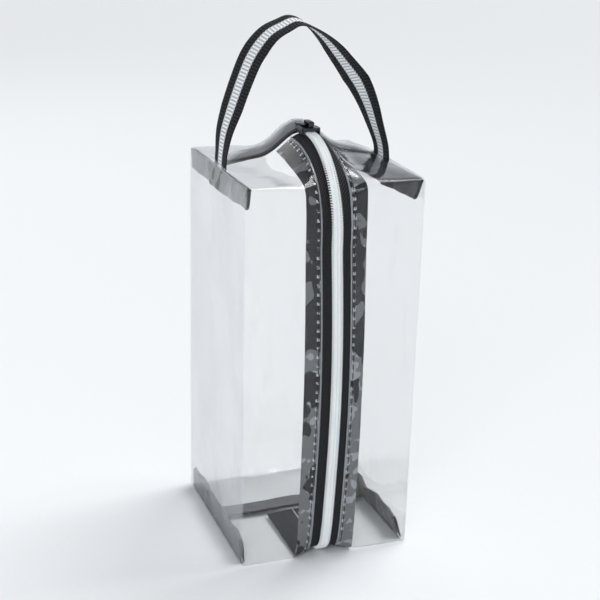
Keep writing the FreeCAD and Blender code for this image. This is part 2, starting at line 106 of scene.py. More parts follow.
# each crease: how far in from the right edge, its lean, its two heights and its depth
CREASES = [
    (7 * MM, 0.03, 18 * MM, 150 * MM, 1.5 * MM),
    (12 * MM, -0.04, 30 * MM, 118 * MM, 1.2 * MM),
    (3.6 * MM, 0.02, 60 * MM, 205 * MM, 0.8 * MM),
    (17 * MM, 0.09, 12 * MM, 70 * MM, 1.1 * MM),
]


def bell(distance, width, power=2.4):
    """1 at no distance, falling to 0 well past the width."""
    return math.exp(-((abs(distance) / width) ** power))


def unit(vectors):
    return vectors / np.linalg.norm(vectors, axis=-1, keepdims=True)


def arc_lengths(points):
    steps = np.linalg.norm(np.diff(points, axis=0), axis=1)
    return np.concatenate([[0], np.cumsum(steps)])


def spaced(points, count=None, step=None):
    """Points evenly spaced by length along a line of points, count of them or one every step,
    and how far along it each lies."""
    points = np.array(points, float)
    length = arc_lengths(points)
    at = np.linspace(0, length[-1], count or int(length[-1] / step))
    return np.column_stack([np.interp(at, length, column) for column in points.T]), at


def blended(near, zipper, panel, count):
    """Between the zipper's line and the side panels' line, by how near the zipper is."""
    return near * spaced(zipper, count)[0] + (1 - near) * spaced(panel, count)[0]


def arc(centre, radius, first, last):
    """Points of an arc, between two angles in degrees."""
    angles = np.radians(np.linspace(first, last, ARC_POINTS))
    return [(centre[0] + radius * math.cos(a), centre[1] + radius * math.sin(a)) for a in angles]


def top_part(x):
    """From the top seam to the upper end of the front wall, as (distance forward, height)."""
    near = bell(x, TOP_SPREAD)
    share = max(0.0, 1 - abs(x) / HALF_WIDTH)
    seam = SHOULDER + 2 * MM + 0.3 * (CROWN - SHOULDER) * share
    fold = (2.2 + 9 * share**2) * MM
    zipper = [(0, CROWN)] + arc((HALF_DEPTH - ZIP_BEND, CROWN - ZIP_BEND), ZIP_BEND, 90, 0)
    zipper.append((HALF_DEPTH, UPPER_END))
    sag = 2.0 * MM * share
    panel = [(0, seam), (HALF_DEPTH * 0.45, (seam + SHOULDER) / 2 - sag)]
    panel += arc((HALF_DEPTH - fold, SHOULDER - fold), fold, 90, 0)
    panel.append((HALF_DEPTH, UPPER_END))
    return blended(near, zipper, panel, TOP_POINTS)


def foot_part(x):
    """From the lower end of the front wall to the bottom seam."""
    near = bell(x, FOOT_SPREAD)
    fold = 1.6 * MM
    zipper = [(HALF_DEPTH, LOWER_END)]
    zipper += arc((HALF_DEPTH - ZIP_FOOT_BEND, ZIP_FLOOR + ZIP_FOOT_BEND), ZIP_FOOT_BEND, 0, -90)
    zipper.append((0, ZIP_FLOOR))
    panel = [(HALF_DEPTH, LOWER_END)] + arc((HALF_DEPTH - fold, FLOOR_GAP + fold), fold, 0, -90)
    panel += [(HALF_DEPTH * 0.5, FLOOR_GAP + 0.6 * MM), (0, FLOOR_GAP + 1.4 * MM)]
    return blended(near, zipper, panel, FOOT_POINTS)


def half_loop(x):
    wall, _ = spaced([(HALF_DEPTH, UPPER_END), (HALF_DEPTH, LOWER_END)], WALL_POINTS)
    return np.vstack([top_part(x), wall[1:-1], foot_part(x)])


def hump(x, forward):
    """The film behind the top seam stands up in a low hump over the seam's folded edge."""
    if not 0 < forward < HUMP_DEPTH:
        return 0.0
    rise = math.sin(math.pi * forward / HUMP_DEPTH) ** 0.7
    return HUMP_HEIGHT * rise * bell(x, HUMP_WIDTH, 6)


def ripple(x, y, z):
    """The film's slow waves, how far it stands out or in."""
    wave = math.sin(x * 61 + z * 37 + 1.3) * math.sin(z * 43 - y * 29 + 0.4)
    small = math.sin(z * 118 + x * 83) * math.sin(y * 97 + x * 141 + 2.0)
    return (0.45 * wave + 0.22 * small) * MM


def crease(distance, width):
    """The cross-section of a fold, 1 at its line."""
    return math.exp(-((distance / width) ** 2))


def creases(x, y, z):
    """Sharp upright folds pressed into the front film near its right edge."""
    depth = 0.0
    if y < -0.9 * HALF_DEPTH and x > 0:
        for offset, lean, low, high, size in CREASES:
            line = HALF_WIDTH - offset + lean * (z - low)
            fade = max(0.0, min(1.0, (z - low) / CREASE_FADE, (high - z) / CREASE_FADE))
            depth -= size * fade * crease(x - line, CREASE_WIDTH)
    return depth


def zip_drift(z):
    """How far the zipper bows sideways down the front."""
    top = ZIP_BEND_Z - 6 * MM
    low = 22 * MM
    if z >= top:
        return 0.0
    if z >= low:
        return DRIFT_DOWN * math.sin(math.pi * (z - low) / (top - low))
    return -DRIFT_FOOT * (low - z) / low


def loop_at(x):
    """The points (x, y, z) of one closed section, all round."""
    half = half_loop(x)
    front = [(-f, z) for f, z in half]
    back = [(f, z + (hump(x, f) if z > SHOULDER - 10 * MM else 0.0)) for f, z in half]
    loop = np.array(front + back[-2:0:-1])
    over = abs(x) - (HALF_WIDTH - EDGE_ROUND)
    if over > 0:
        inset = EDGE_ROUND - math.sqrt(max(EDGE_ROUND**2 - over**2, 0))
        around = np.roll(loop, -1, 0) - np.roll(loop, 1, 0)
        inward = np.column_stack([-around[:, 1], around[:, 0]])
        inward /= np.maximum(np.linalg.norm(inward, axis=1, keepdims=True), 1e-9)
        toward = np.array([0, CROWN / 2]) - loop
        flip = np.sign((inward * toward).sum(1, keepdims=True))
        loop = loop + inward * flip * inset
    rows = []
    centre = bell(x, CENTRE_SPREAD)
    for y, z in loop:
        moved = x + (zip_drift(z) * centre if y < 0 else 0.0)
        out = ripple(x, y, z) * (1 - 0.8 * centre) + creases(x, y, z)
        ease = min(1.0, max(0.0, (z - FOOT_STILL) / FOOT_EASE))
        if abs(y) > HALF_DEPTH - WALL_MARGIN:
            rows.append((moved, y + math.copysign(out * ease, y), z))
        elif z > SHOULDER - TOP_MARGIN:
            rows.append((moved, y, z + out))
        else:
            rows.append((moved, y, z))
    return np.array(rows)


def front_surface(xs):
    """A grid of points on the outer face's front half, one row for each x, and its normals."""
    grid = np.array([loop_at(x)[:HALF_COUNT] for x in xs])
    across = np.gradient(grid, axis=0)
    along = np.gradient(grid, axis=1)
    normals = np.cross(along, across)
    normals /= np.maximum(np.linalg.norm(normals, axis=2, keepdims=True), 1e-12)
    middle = np.array([0, 0, CROWN / 2])
    outward = np.sign((normals * (grid - middle)).sum(2, keepdims=True))
    return grid, normals * np.where(outward == 0, 1, outward)


# ---------------------------------------------------------------- mesh helpers


def linked(name, data):
    """A new object of the scene that holds a mesh, a lamp or a camera."""
    made = bpy.data.objects.new(name, data)
    bpy.context.scene.collection.objects.link(made)
    return made


def new_object(name, verts, faces, material, uvs=None, smooth=True):
    mesh = bpy.data.meshes.new(name)
    mesh.from_pydata([tuple(v) for v in verts], [], faces)
    if uvs is not None:
        layer = mesh.uv_layers.new(name="UVMap")
        for loop in mesh.loops:
            layer.data[loop.index].uv = uvs[loop.vertex_index]
    mesh.validate()
    for polygon in mesh.polygons:
        polygon.use_smooth = smooth
    mesh.materials.append(material)
    return linked(name, mesh)


def add_piece(piece, body, slot, *nodes):
    if body:
        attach(piece, body)
    if nodes:
        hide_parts(*nodes)
    return piece


def grid_faces(rows, columns, start=0, closed_columns=False, skip=None):
    faces = []
    last = columns if closed_columns else columns - 1
    for i in range(rows - 1):
        for j in range(last):
            if skip and skip(i, j):
                continue
            k = (j + 1) % columns
            near, far = start + i * columns, start + (i + 1) * columns
            faces.append((near + j, near + k, far + k, far + j))
    return faces


def slab(name, outer, inner, material, uvs=None, inner_material=None):
    """A closed solid between two grids of points of the same shape. Its inner face can have a
    material of its own."""
    rows, columns = outer.shape[:2]
    verts = np.vstack([outer.reshape(-1, 3), inner.reshape(-1, 3)])
    under = rows * columns
    faces = grid_faces(rows, columns)
    faces += [tuple(reversed(f)) for f in grid_faces(rows, columns, under)]
    rim = list(range(columns)) + [i * columns + columns - 1 for i in range(1, rows)]
    rim += [(rows - 1) * columns + j for j in range(columns - 2, -1, -1)]
    rim += [i * columns for i in range(rows - 2, 0, -1)]
    for a, b in zip(rim, rim[1:] + rim[:1]):
        faces.append((b, a, under + a, under + b))
    if uvs is not None:
        uvs = np.vstack([uvs.reshape(-1, 2), uvs.reshape(-1, 2)])
    piece = new_object(name, verts, faces, material, uvs)
    if inner_material:
        piece.data.materials.append(inner_material)
        for polygon in piece.data.polygons:
            if min(polygon.vertices) >= under:
                polygon.material_index = 1
    fix_normals(piece)
    return piece


def fix_normals(piece):
    mesh = bmesh.new()
    mesh.from_mesh(piece.data)
    bmesh.ops.recalc_face_normals(mesh, faces=mesh.faces)
    mesh.to_mesh(piece.data)
    mesh.free()


def sharpen(piece, degrees):
    """Keeps edges sharper than an angle crisp while the rest shades smoothly."""
    piece.data.set_sharp_from_angle(angle=math.radians(degrees))


# ---------------------------------------------------------------- material helpers


def new_material(name):
    material = bpy.data.materials.new(name)
    material.use_nodes = True
    material.node_tree.nodes.clear()
    return material, material.node_tree


def node(tree, kind, **settings):
    made = tree.nodes.new(kind)
    for key, setting in settings.items():
        if key in made.inputs:
            made.inputs[key].default_value = setting
        else:
            setattr(made, key, setting)
    return made


def math_node(tree, operation, first, second=None):
    made = tree.nodes.new("ShaderNodeMath")
    made.operation = operation
    for socket, source in zip(made.inputs, (first, second)):
        if source is None:
            continue
        if isinstance(source, (int, float)):
            socket.default_value = source
        else:
            tree.links.new(source, socket)
    return made.outputs[0]


def times(tree, first, second):
    return math_node(tree, "MULTIPLY", first, second)


def plus(tree, first, second):
    return math_node(tree, "ADD", first, second)


def mix_colour(tree, factor, first, second):
    made = tree.nodes.new("ShaderNodeMix")
    made.data_type = "RGBA"
    sockets = (made.inputs[0], made.inputs[6], made.inputs[7])
    for socket, source in zip(sockets, (factor, first, second)):
        if isinstance(source, (int, float)):
            socket.default_value = source
        elif isinstance(source, tuple):
            socket.default_value = (*source, 1)
        else:
            tree.links.new(source, socket)
    return made.outputs[2]


def uv_sockets(tree):
    """The two sockets of a piece's own grid, in millimetres across and along it."""
    coordinates = node(tree, "ShaderNodeUVMap")
    parts = node(tree, "ShaderNodeSeparateXYZ")
    tree.links.new(coordinates.outputs[0], parts.inputs[0])
    return parts.outputs[0], parts.outputs[1]


def wave_socket(tree, value, pitch):
    """A sine of one coordinate, from -1 to 1, with the given pitch."""
    return math_node(tree, "SINE", times(tree, value, 2 * math.pi / pitch))


def noise_socket(tree, scale, detail, roughness, stretch=None):
    """Noise over a piece's own coordinates, in metres; stretch scales each axis first."""
    source = node(tree, "ShaderNodeTexCoord").outputs["Object"]
    if stretch:
        mapping = node(tree, "ShaderNodeMapping")
        mapping.inputs["Scale"].default_value = stretch
        tree.links.new(source, mapping.inputs[0])
        source = mapping.outputs[0]
    made = node(tree, "ShaderNodeTexNoise", Scale=scale, Detail=detail, Roughness=roughness)
    tree.links.new(source, made.inputs["Vector"])
    return made.outputs[0]


def step_socket(tree, value, low, high):
    """A smooth step of a value from 0 at low to 1 at high."""
    made = node(tree, "ShaderNodeMapRange", interpolation_type="SMOOTHSTEP")
    made.inputs["From Min"].default_value = low
    made.inputs["From Max"].default_value = high
    tree.links.new(value, made.inputs[0])
    return made.outputs[0]


def bump_socket(tree, height, distance, strength):
    made = node(tree, "ShaderNodeBump", Strength=strength, Distance=distance)
    tree.links.new(height, made.inputs["Height"])
    return made.outputs[0]


def finish_material(tree, shader):
    out = node(tree, "ShaderNodeOutputMaterial")
    tree.links.new(shader, out.inputs[0])


def finish_cloth(tree, shade, bump, roughness, specular):
    cloth = node(tree, "ShaderNodeBsdfPrincipled", Roughness=roughness)
    cloth.inputs["Specular IOR Level"].default_value = specular
    tree.links.new(shade, cloth.inputs["Base Color"])
    tree.links.new(bump, cloth.inputs["Normal"])
    finish_material(tree, cloth.outputs[0])
    return cloth


def schlick(tree, base):
    """How much a clear surface mirrors, from base when faced to 1 at a glancing view."""
    facing = node(tree, "ShaderNodeLayerWeight", Blend=0.5).outputs["Facing"]
    grazing = math_node(tree, "POWER", facing, 5.0)
    return plus(tree, times(tree, grazing, 1 - base), base)


def film_material():
    """Clear soft vinyl: see-through, glossy, faintly hazy, with small scuffs and ripples."""
    material, tree = new_material("clear_vinyl")
    facing = node(tree, "ShaderNodeLayerWeight", Blend=0.5).outputs["Facing"]
    edge_on = step_socket(tree, facing, 0.62, 1.0)
    clear = node(tree, "ShaderNodeBsdfTransparent")
    tint = mix_colour(tree, edge_on, (0.974, 0.976, 0.976), (0.62, 0.64, 0.655))
    tree.links.new(tint, clear.inputs["Color"])
    gloss = node(tree, "ShaderNodeBsdfPrincipled", Metallic=1.0, Roughness=0.05)
    gloss.inputs["Base Color"].default_value = (0.97, 0.98, 1.0, 1)
    milk = node(tree, "ShaderNodeBsdfPrincipled", Roughness=0.3)
    milk.inputs["Base Color"].default_value = (0.86, 0.88, 0.92, 1)
    waves = noise_socket(tree, 34, 2.0, 0.4)
    fine = noise_socket(tree, 420, 3.0, 0.6)
    height = plus(tree, waves, times(tree, fine, 0.02))
    bump = bump_socket(tree, height, 2.4 * MM, 0.7)
    for shader in (gloss, milk):
        tree.links.new(bump, shader.inputs["Normal"])
    mirror = node(tree, "ShaderNodeMixShader")
    tree.links.new(schlick(tree, 0.02), mirror.inputs[0])
    tree.links.new(clear.outputs[0], mirror.inputs[1])
    tree.links.new(gloss.outputs[0], mirror.inputs[2])
    scuff = step_socket(tree, noise_socket(tree, 60, 6.0, 0.7, (1, 1, 0.35)), 0.52, 0.8)
    haze = node(tree, "ShaderNodeMixShader")
    share = plus(tree, times(tree, scuff, 0.04), 0.006)
    tree.links.new(share, haze.inputs[0])
    tree.links.new(mirror.outputs[0], haze.inputs[1])
    tree.links.new(milk.outputs[0], haze.inputs[2])
    finish_material(tree, haze.outputs[0])
    return material


def tape_material():
    """Woven black zipper tape: a fine twill across the tape's own grid, in millimetres. Its colour holds
    painted shade in the grooves and painted highlight on the ribs.
    """
    material, tree = new_material("zip_tape_twill")
    across, along = uv_sockets(tree)
    diagonal = plus(tree, across, times(tree, along, 0.7))
    rib = wave_socket(tree, diagonal, 1.6)
    crossing = math_node(tree, "SUBTRACT", along, times(tree, across, 0.4))
    thread = wave_socket(tree, crossing, 0.55)
    height = plus(tree, rib, times(tree, thread, 0.45))
    # painted shade and highlight: the weave's grooves darker, its ribs lighter
    weave_shade = step_socket(tree, height, -1.2, 1.3)
    worn = noise_socket(tree, 130, 4.0, 0.6)
    shade = mix_colour(tree, weave_shade, (0.001, 0.0012, 0.0016), (0.062, 0.065, 0.072))
    shade = mix_colour(tree, times(tree, worn, 0.3), shade, (0.016, 0.017, 0.02))
    bump = bump_socket(tree, height, 0.3 * MM, 1.0)
    finish_cloth(tree, shade, bump, 0.7, 0.2)
    return material


def clinging_material():
    """The tape where the film lies on it: black cloth with painted shade and highlight in its weave,
    pale patches of painted reflection of the film, more of them low down and on the right, a painted
    highlight along the film's edge and small painted glints beside the stitches."""
    material, tree = new_material("zip_tape_under_film")
    across, along = uv_sockets(tree)
    outward = math_node(tree, "ABSOLUTE", across)
    rib = wave_socket(tree, plus(tree, across, times(tree, along, 0.7)), 0.9)
    place = node(tree, "ShaderNodeSeparateXYZ")
    tree.links.new(node(tree, "ShaderNodeTexCoord").outputs["Object"], place.inputs[0])
    # painted reflection: the film's reflection on the tape grows towards the bottom and on the right
    lower = step_socket(tree, place.outputs[2], 0.7 * SHOULDER, 0.25 * SHOULDER)
    right = step_socket(tree, place.outputs[0], -1 * MM, 1 * MM)
    edge = times(tree, noise_socket(tree, 700, 2.0, 0.5), 0.04)
    reflection_patch = plus(tree, noise_socket(tree, 75, 2.0, 0.5, (1, 1, 0.7)), edge)
    reflection_patch = plus(tree, reflection_patch, times(tree, lower, 0.15))
    both = times(tree, right, plus(tree, lower, 0.25))
    reflection_patch = plus(tree, reflection_patch, times(tree, both, 0.1))
    # the mask is 1 where the film's painted reflection shows, grey with brighter spots of it
    painted_reflection_mask = step_socket(tree, reflection_patch, 0.60, 0.615)
    brighter_reflection_mask = step_socket(tree, noise_socket(tree, 110, 2.0, 0.5), 0.56, 0.58)
    # painted shade and highlight of the weave: grooves darker, ribs lighter
    weave_shade = step_socket(tree, rib, -1.2, 1.3)
    dark = mix_colour(tree, weave_shade, (0.001, 0.0012, 0.002), (0.008, 0.009, 0.012))
    grey = mix_colour(tree, weave_shade, (0.14, 0.145, 0.15), (0.18, 0.185, 0.19))
    pale = mix_colour(tree, brighter_reflection_mask, grey, (0.34, 0.345, 0.37))
    shade = mix_colour(tree, painted_reflection_mask, dark, pale)
    # painted highlights: pale glints in the gaps between the stitches, where the film over them catches
    # the light
    beat = wave_socket(tree, along, STITCH_PITCH / MM)
    beside = math_node(tree, "SUBTRACT", outward, STITCH_LINE / MM + 0.1)
    beside = math_node(tree, "ABSOLUTE", beside)
    near = step_socket(tree, beside, 1.0, 0.5)
    glint = times(tree, step_socket(tree, beat, 0.35, 0.6), near)
    broken = step_socket(tree, noise_socket(tree, 500, 2.0, 0.5), 0.38, 0.5)
    glint = times(tree, glint, broken)
    shade = mix_colour(tree, glint, shade, (0.62, 0.64, 0.68))
    # painted highlight: a pale line on the tape where the clear film's cut edge catches the light
    film_edge_highlight = step_socket(tree, outward, FILM_EDGE_HIGHLIGHT / MM + 0.05, FILM_EDGE_HIGHLIGHT / MM - 0.05)
    shade = mix_colour(tree, film_edge_highlight, shade, (0.36, 0.37, 0.39))
    bump = bump_socket(tree, rib, 0.08 * MM, 0.6)
    finish_cloth(tree, shade, bump, 0.6, 0.2)
    return material


def plastic_material(name, colour, roughness, grain, scatter=0.0):
    """Plastic or thread of one colour, faintly mottled; its grain's height is in millimetres."""
    material, tree = new_material(name)
    speck = noise_socket(tree, 900, 3.0, 0.6)
    tint = noise_socket(tree, 45, 2.0, 0.5)
    darker = tuple(c * 0.86 for c in colour)
    body = node(tree, "ShaderNodeBsdfPrincipled", Roughness=roughness)
    body.inputs["Subsurface Weight"].default_value = scatter
    body.inputs["Subsurface Scale"].default_value = 0.4 * MM
    tree.links.new(mix_colour(tree, tint, darker, colour), body.inputs["Base Color"])
    tree.links.new(bump_socket(tree, speck, grain * MM, 0.5), body.inputs["Normal"])
    finish_material(tree, body.outputs[0])
    return material


def binding_material(name, edge_from=None, gloss=0.8):
    """Satin black binding: a tight plain weave, wrinkled, with a cool shine, its crossings painted
    lighter as highlight. Beyond edge_from, in millimetres from the fold, the cloth is puckered into the
    seam and is painted near black as shade; short of it the cloth is painted a flat grey as sheen."""
    material, tree = new_material(name)
    across, along = uv_sockets(tree)
    warp = wave_socket(tree, along, 0.42)
    weft = wave_socket(tree, across, 0.5)
    weave = times(tree, warp, weft)
    wrinkle = noise_socket(tree, 210, 3.0, 0.55, (0.6, 1, 1))
    height = plus(tree, wrinkle, times(tree, weave, 0.08))
    # painted highlight: the weave's crossings lighter than the black between them
    shade = mix_colour(tree, step_socket(tree, weave, -1, 1), (0.006, 0.007, 0.01), (0.022, 0.023, 0.03))
    if edge_from:
        # painted sheen and shade: flat grey short of edge_from, near black beyond it
        shaded = step_socket(tree, across, edge_from - 0.1, edge_from + 0.1)
        shade = mix_colour(tree, shaded, (0.2, 0.205, 0.22), (0.001, 0.001, 0.0015))
    cloth = finish_cloth(tree, shade, bump_socket(tree, height, 0.7 * MM, 0.7), 0.34, gloss)
    cloth.inputs["Sheen Weight"].default_value = 0.19 * gloss
    cloth.inputs["Sheen Roughness"].default_value = 0.4
    return material


def strap_material():
    """Webbing in three lengthwise stripes, black, grey-white and black, with a coarse weave."""
    material, tree = new_material("striped_webbing")
    across, along = uv_sockets(tree)
    half_stripe = STRAP_HALF_WIDTH / MM / 3
    ragged = times(tree, wave_socket(tree, along, STRAP_RIB / MM), 0.35)
    reach = plus(tree, math_node(tree, "ABSOLUTE", across), ragged)
    stripe = step_socket(tree, reach, half_stripe + 0.15, half_stripe - 0.15)
    rib = wave_socket(tree, along, STRAP_RIB / MM)
    yarn = wave_socket(tree, across, 1.1)
    speck = noise_socket(tree, 1500, 2.0, 0.6)
    light = mix_colour(tree, step_socket(tree, rib, -1, 0.6), (0.42, 0.44, 0.47), (0.93, 0.94, 0.95))
    between = times(tree, step_socket(tree, yarn, 0.3, 1), 0.4)
    light = mix_colour(tree, between, light, (0.45, 0.47, 0.5))
    dark = mix_colour(tree, step_socket(tree, rib, -1, 1), (0.001, 0.0012, 0.0015), (0.02, 0.022, 0.026))
    shade = mix_colour(tree, stripe, dark, light)
    shade = mix_colour(tree, times(tree, speck, 0.06), shade, (0.12, 0.125, 0.135))
    fine = plus(tree, times(tree, yarn, 0.4), speck)
    bump = bump_socket(tree, fine, 0.12 * MM, 0.7)
    finish_cloth(tree, shade, bump, 0.75, 0.2)
    return material


def metal_material(name, colour, roughness):
    """Plated die-cast metal with faint pits and handling marks."""
    material, tree = new_material(name)
    marks = noise_socket(tree, 700, 4.0, 0.65, (1, 0.25, 1))
    pits = noise_socket(tree, 2600, 2.0, 0.5)
    metal = node(tree, "ShaderNodeBsdfPrincipled", Metallic=1.0)
    worn = tuple(min(1.0, c * 1.7 + 0.03) for c in colour)
    streaks = 0.3
    shade = mix_colour(tree, step_socket(tree, marks, 0.5, 0.8), colour, worn)
    tree.links.new(shade, metal.inputs["Base Color"])
    rough = plus(tree, times(tree, marks, streaks), roughness - 0.5 * streaks)
    tree.links.new(rough, metal.inputs["Roughness"])
    tree.links.new(bump_socket(tree, pits, 0.03 * MM, 0.4), metal.inputs["Normal"])
    finish_material(tree, metal.outputs[0])
    return material


# ---------------------------------------------------------------- the materials

vinyl = film_material()
twill = tape_material()
clinging = clinging_material()
coil_white = plastic_material("coil_white", (0.96, 0.965, 0.97), 0.4, grain=0.02, scatter=0.3)
satin = binding_material("satin_binding")
# the top seam binding's cloth, with painted sheen by its fold and painted shade by its seam
seam_satin = binding_material("seam_binding_satin", edge_from=10.2)
# a shaded copy of the satin, with far less shine, so that the right-hand top binding reads darker:
# painted shade
shaded_satin = binding_material("shaded_satin_binding", gloss=0.12)
webbing = strap_material()
thread = plastic_material("sewing_thread", (0.02, 0.021, 0.024), 0.6, grain=0.05)
gunmetal = metal_material("gunmetal", (0.045, 0.048, 0.055), 0.34)
tab_metal = metal_material("pull_metal", (0.1, 0.105, 0.115), 0.3)
spring_metal = metal_material("spring_metal", (0.4, 0.41, 0.43), 0.28)

# ---------------------------------------------------------------- the film

BESIDE_ZIP = 20 * MM  # the sections lie closer together out to here
SIDE_ROWS = 27
SIDE_WAVE, SIDE_PULL = 0.5 * MM, 0.3 * MM  # how far a side panel waves, and is drawn in
FOOT_FADE, TOP_FADE = 12 * MM, 30 * MM  # the side panels' waves die out over these heights
WELD = 0.004 * MM


def film_columns():
    """The x positions of the film's sections: closer at the zipper and at the side edges."""
    half = list(np.linspace(OPENING_HALF, BESIDE_ZIP, 9))
    half += list(np.linspace(BESIDE_ZIP, HALF_WIDTH - 2 * EDGE_ROUND, 18)[1:])
    for degrees in (10, 30, 50, 70, 90):
        half.append(HALF_WIDTH - EDGE_ROUND + EDGE_ROUND * math.sin(math.radians(degrees)))
    inner = [0.0, 3 * MM]
    right = inner + half
    return np.array([-x for x in right[:0:-1]] + right)


def join_grids(name, grids, material):
    """One object from several grids of points, welded where they meet."""
    mesh = bmesh.new()
    for grid, skip in grids:
        rows, columns = grid.shape[:2]
        made = [mesh.verts.new(p) for p in grid.reshape(-1, 3)]
        for face in grid_faces(rows, columns, skip=skip):
            mesh.faces.new([made[k] for k in face])
    bmesh.ops.remove_doubles(mesh, verts=mesh.verts, dist=WELD)
    bmesh.ops.dissolve_degenerate(mesh, edges=mesh.edges, dist=WELD)
    loose = [v for v in mesh.verts if not v.link_faces]
    bmesh.ops.delete(mesh, geom=loose, context="VERTS")
    bmesh.ops.recalc_face_normals(mesh, faces=mesh.faces)
    data = bpy.data.meshes.new(name)
    mesh.to_mesh(data)
    mesh.free()
    data.materials.append(material)
    for polygon in data.polygons:
        polygon.use_smooth = True
    return linked(name, data)


def apply_modifiers(piece):
    graph = bpy.context.evaluated_depsgraph_get()
    made = bpy.data.meshes.new_from_object(piece.evaluated_get(graph))
    piece.modifiers.clear()
    piece.data = made


def side_grid(loop, side):
    """The side panel between the front and the back half of an end section."""
    front = loop[:HALF_COUNT]
    back = np.vstack([loop[:1], loop[:HALF_COUNT - 1:-1], loop[HALF_COUNT - 1:HALF_COUNT]])
    rows = []
    for t in np.linspace(0, 1, SIDE_ROWS):
        row = front * (1 - t) + back * t
        puff = math.sin(math.pi * t) ** 0.8
        for point in row:
            above, below = point[2] / FOOT_FADE, (CROWN - point[2]) / TOP_FADE
            fade = min(1.0, max(0.0, above)) * min(1.0, max(0.0, below))
            wave = math.sin(point[2] * 47 + side * 1.9) * math.sin(point[1] * 58 + point[2] * 21)
            point[0] += side * puff * fade * (SIDE_WAVE * wave - SIDE_PULL)
        rows.append(row)
    return np.array(rows)


columns = film_columns()
wrap = np.array([np.vstack([loop, loop[:1]]) for loop in (loop_at(x) for x in columns)])


def in_slot(i, j):
    middle = (columns[i] + columns[i + 1]) / 2
    return abs(middle) < OPENING_HALF and j < HALF_COUNT - 1


sheets = [(wrap, in_slot)]
for side, index in ((-1, 0), (1, len(columns) - 1)):
    sheets.append((side_grid(wrap[index][:-1], side), None))
film = join_grids("film_shell", sheets, vinyl)
thicken = film.modifiers.new("thickness", "SOLIDIFY")
thicken.thickness = FILM
thicken.offset = -1
thicken.use_even_offset = False
apply_modifiers(film)
add_piece(film, "bag", "clear_film", "body_sheet")

# ---------------------------------------------------------------- zipper

TAPE_DEPTH = 0.55 * MM  # the tape's outer face lies this far inside the film's outer face
TAPE_THICK = 0.6 * MM
TAPE_TRIM = 2  # points of a section left off at each end
ZIP_ENDS = slice(3, HALF_COUNT - 3)  # the points of a section that the coil and stitches follow


def tape_strip(name, xs, material):
    """A strip of tape under the film's surface, from the top seam to the bottom seam."""
    grid, normals = front_surface(xs)
    grid, normals = grid[:, TAPE_TRIM:-TAPE_TRIM], normals[:, TAPE_TRIM:-TAPE_TRIM]
    along = arc_lengths(grid[len(xs) // 2]) / MM
    uvs = np.array([[(x / MM, s) for s in along] for x in xs])
    outer = grid - normals * TAPE_DEPTH
    return slab(name, outer, outer - normals * TAPE_THICK, material, uvs, twill)


for side, word in ((1, "right"), (-1, "left")):
    woven = np.linspace(TAPE_INNER, OPENING_HALF, 7) * side
    hemmed = np.linspace(OPENING_HALF, TAPE_REACH, 9) * side
    strip = tape_strip(f"zip_tape_{word}_woven", np.sort(woven), twill)
    hidden = tape_strip(f"zip_tape_{word}_under_film", np.sort(hemmed), clinging)
    add_piece(strip, "bag", "zip_tape", f"zip_tape_{word}")
    add_piece(hidden, "bag", "zip_tape")


def frames_along(x, step):
    """Evenly spaced points on the outer face along one section, the directions across and
    outward at each, and how far along each lies."""
    points, at = spaced(loop_at(x)[ZIP_ENDS], step=step)
    tangents = np.gradient(points, axis=0)
    for _ in range(3):
        tangents[1:-1] = (tangents[:-2] + 2 * tangents[1:-1] + tangents[2:]) / 4
    tangents = unit(tangents)
    outward = unit(np.cross(tangents, [1.0, 0, 0]))
    toward = points - np.array([0, 0, CROWN / 2])
    outward *= np.sign((outward * toward).sum(1, keepdims=True))
    across = np.cross(outward, tangents)
    across *= np.sign(across[:, :1])
    return points, across, outward, at


def at_length(s, at, field):
    return np.array([np.interp(s, at, field[:, c]) for c in range(3)])


def tube(path, radius, sides):
    """Vertices and faces of a closed tube along a path of points."""
    path = np.array(path)
    tangents = unit(np.gradient(path, axis=0))
    normal = unit(np.cross(tangents[0], [0.3, 0.5, 0.81]))
    rings = []
    for point, tangent in zip(path, tangents):
        normal = unit(normal - tangent * normal.dot(tangent))
        other = np.cross(tangent, normal)
        for k in range(sides):
            angle = 2 * math.pi * k / sides
            rings.append(point + radius * (math.cos(angle) * normal + math.sin(angle) * other))
    faces = grid_faces(len(path), sides, closed_columns=True)
    faces.append(tuple(range(sides - 1, -1, -1)))
    last = (len(path) - 1) * sides
    faces.append(tuple(range(last, last + sides)))
    return rings, faces


COIL_PITCH = 1.42 * MM
COIL_RISE = 0.55 * MM  # the coil's middle, out from the film's outer face
WIRE = 0.36 * MM
TURN_STEPS = 12
TURN_MIDDLE, TURN_REACH, TURN_RISE = 1.4 * MM, 1.68 * MM, 0.74 * MM  # one turn of the wire
CORD_MIDDLE, CORD_RADIUS = 1.1 * MM, 0.85 * MM  # the cord inside the turns
SEWING_ROWS = (0.75 * MM, 2.2 * MM)  # the rows of thread that hold the turns down
SEWING_RISE, SEWING_WEAVE, SEWING_RADIUS = 0.86 * MM, 0.14 * MM, 0.2 * MM


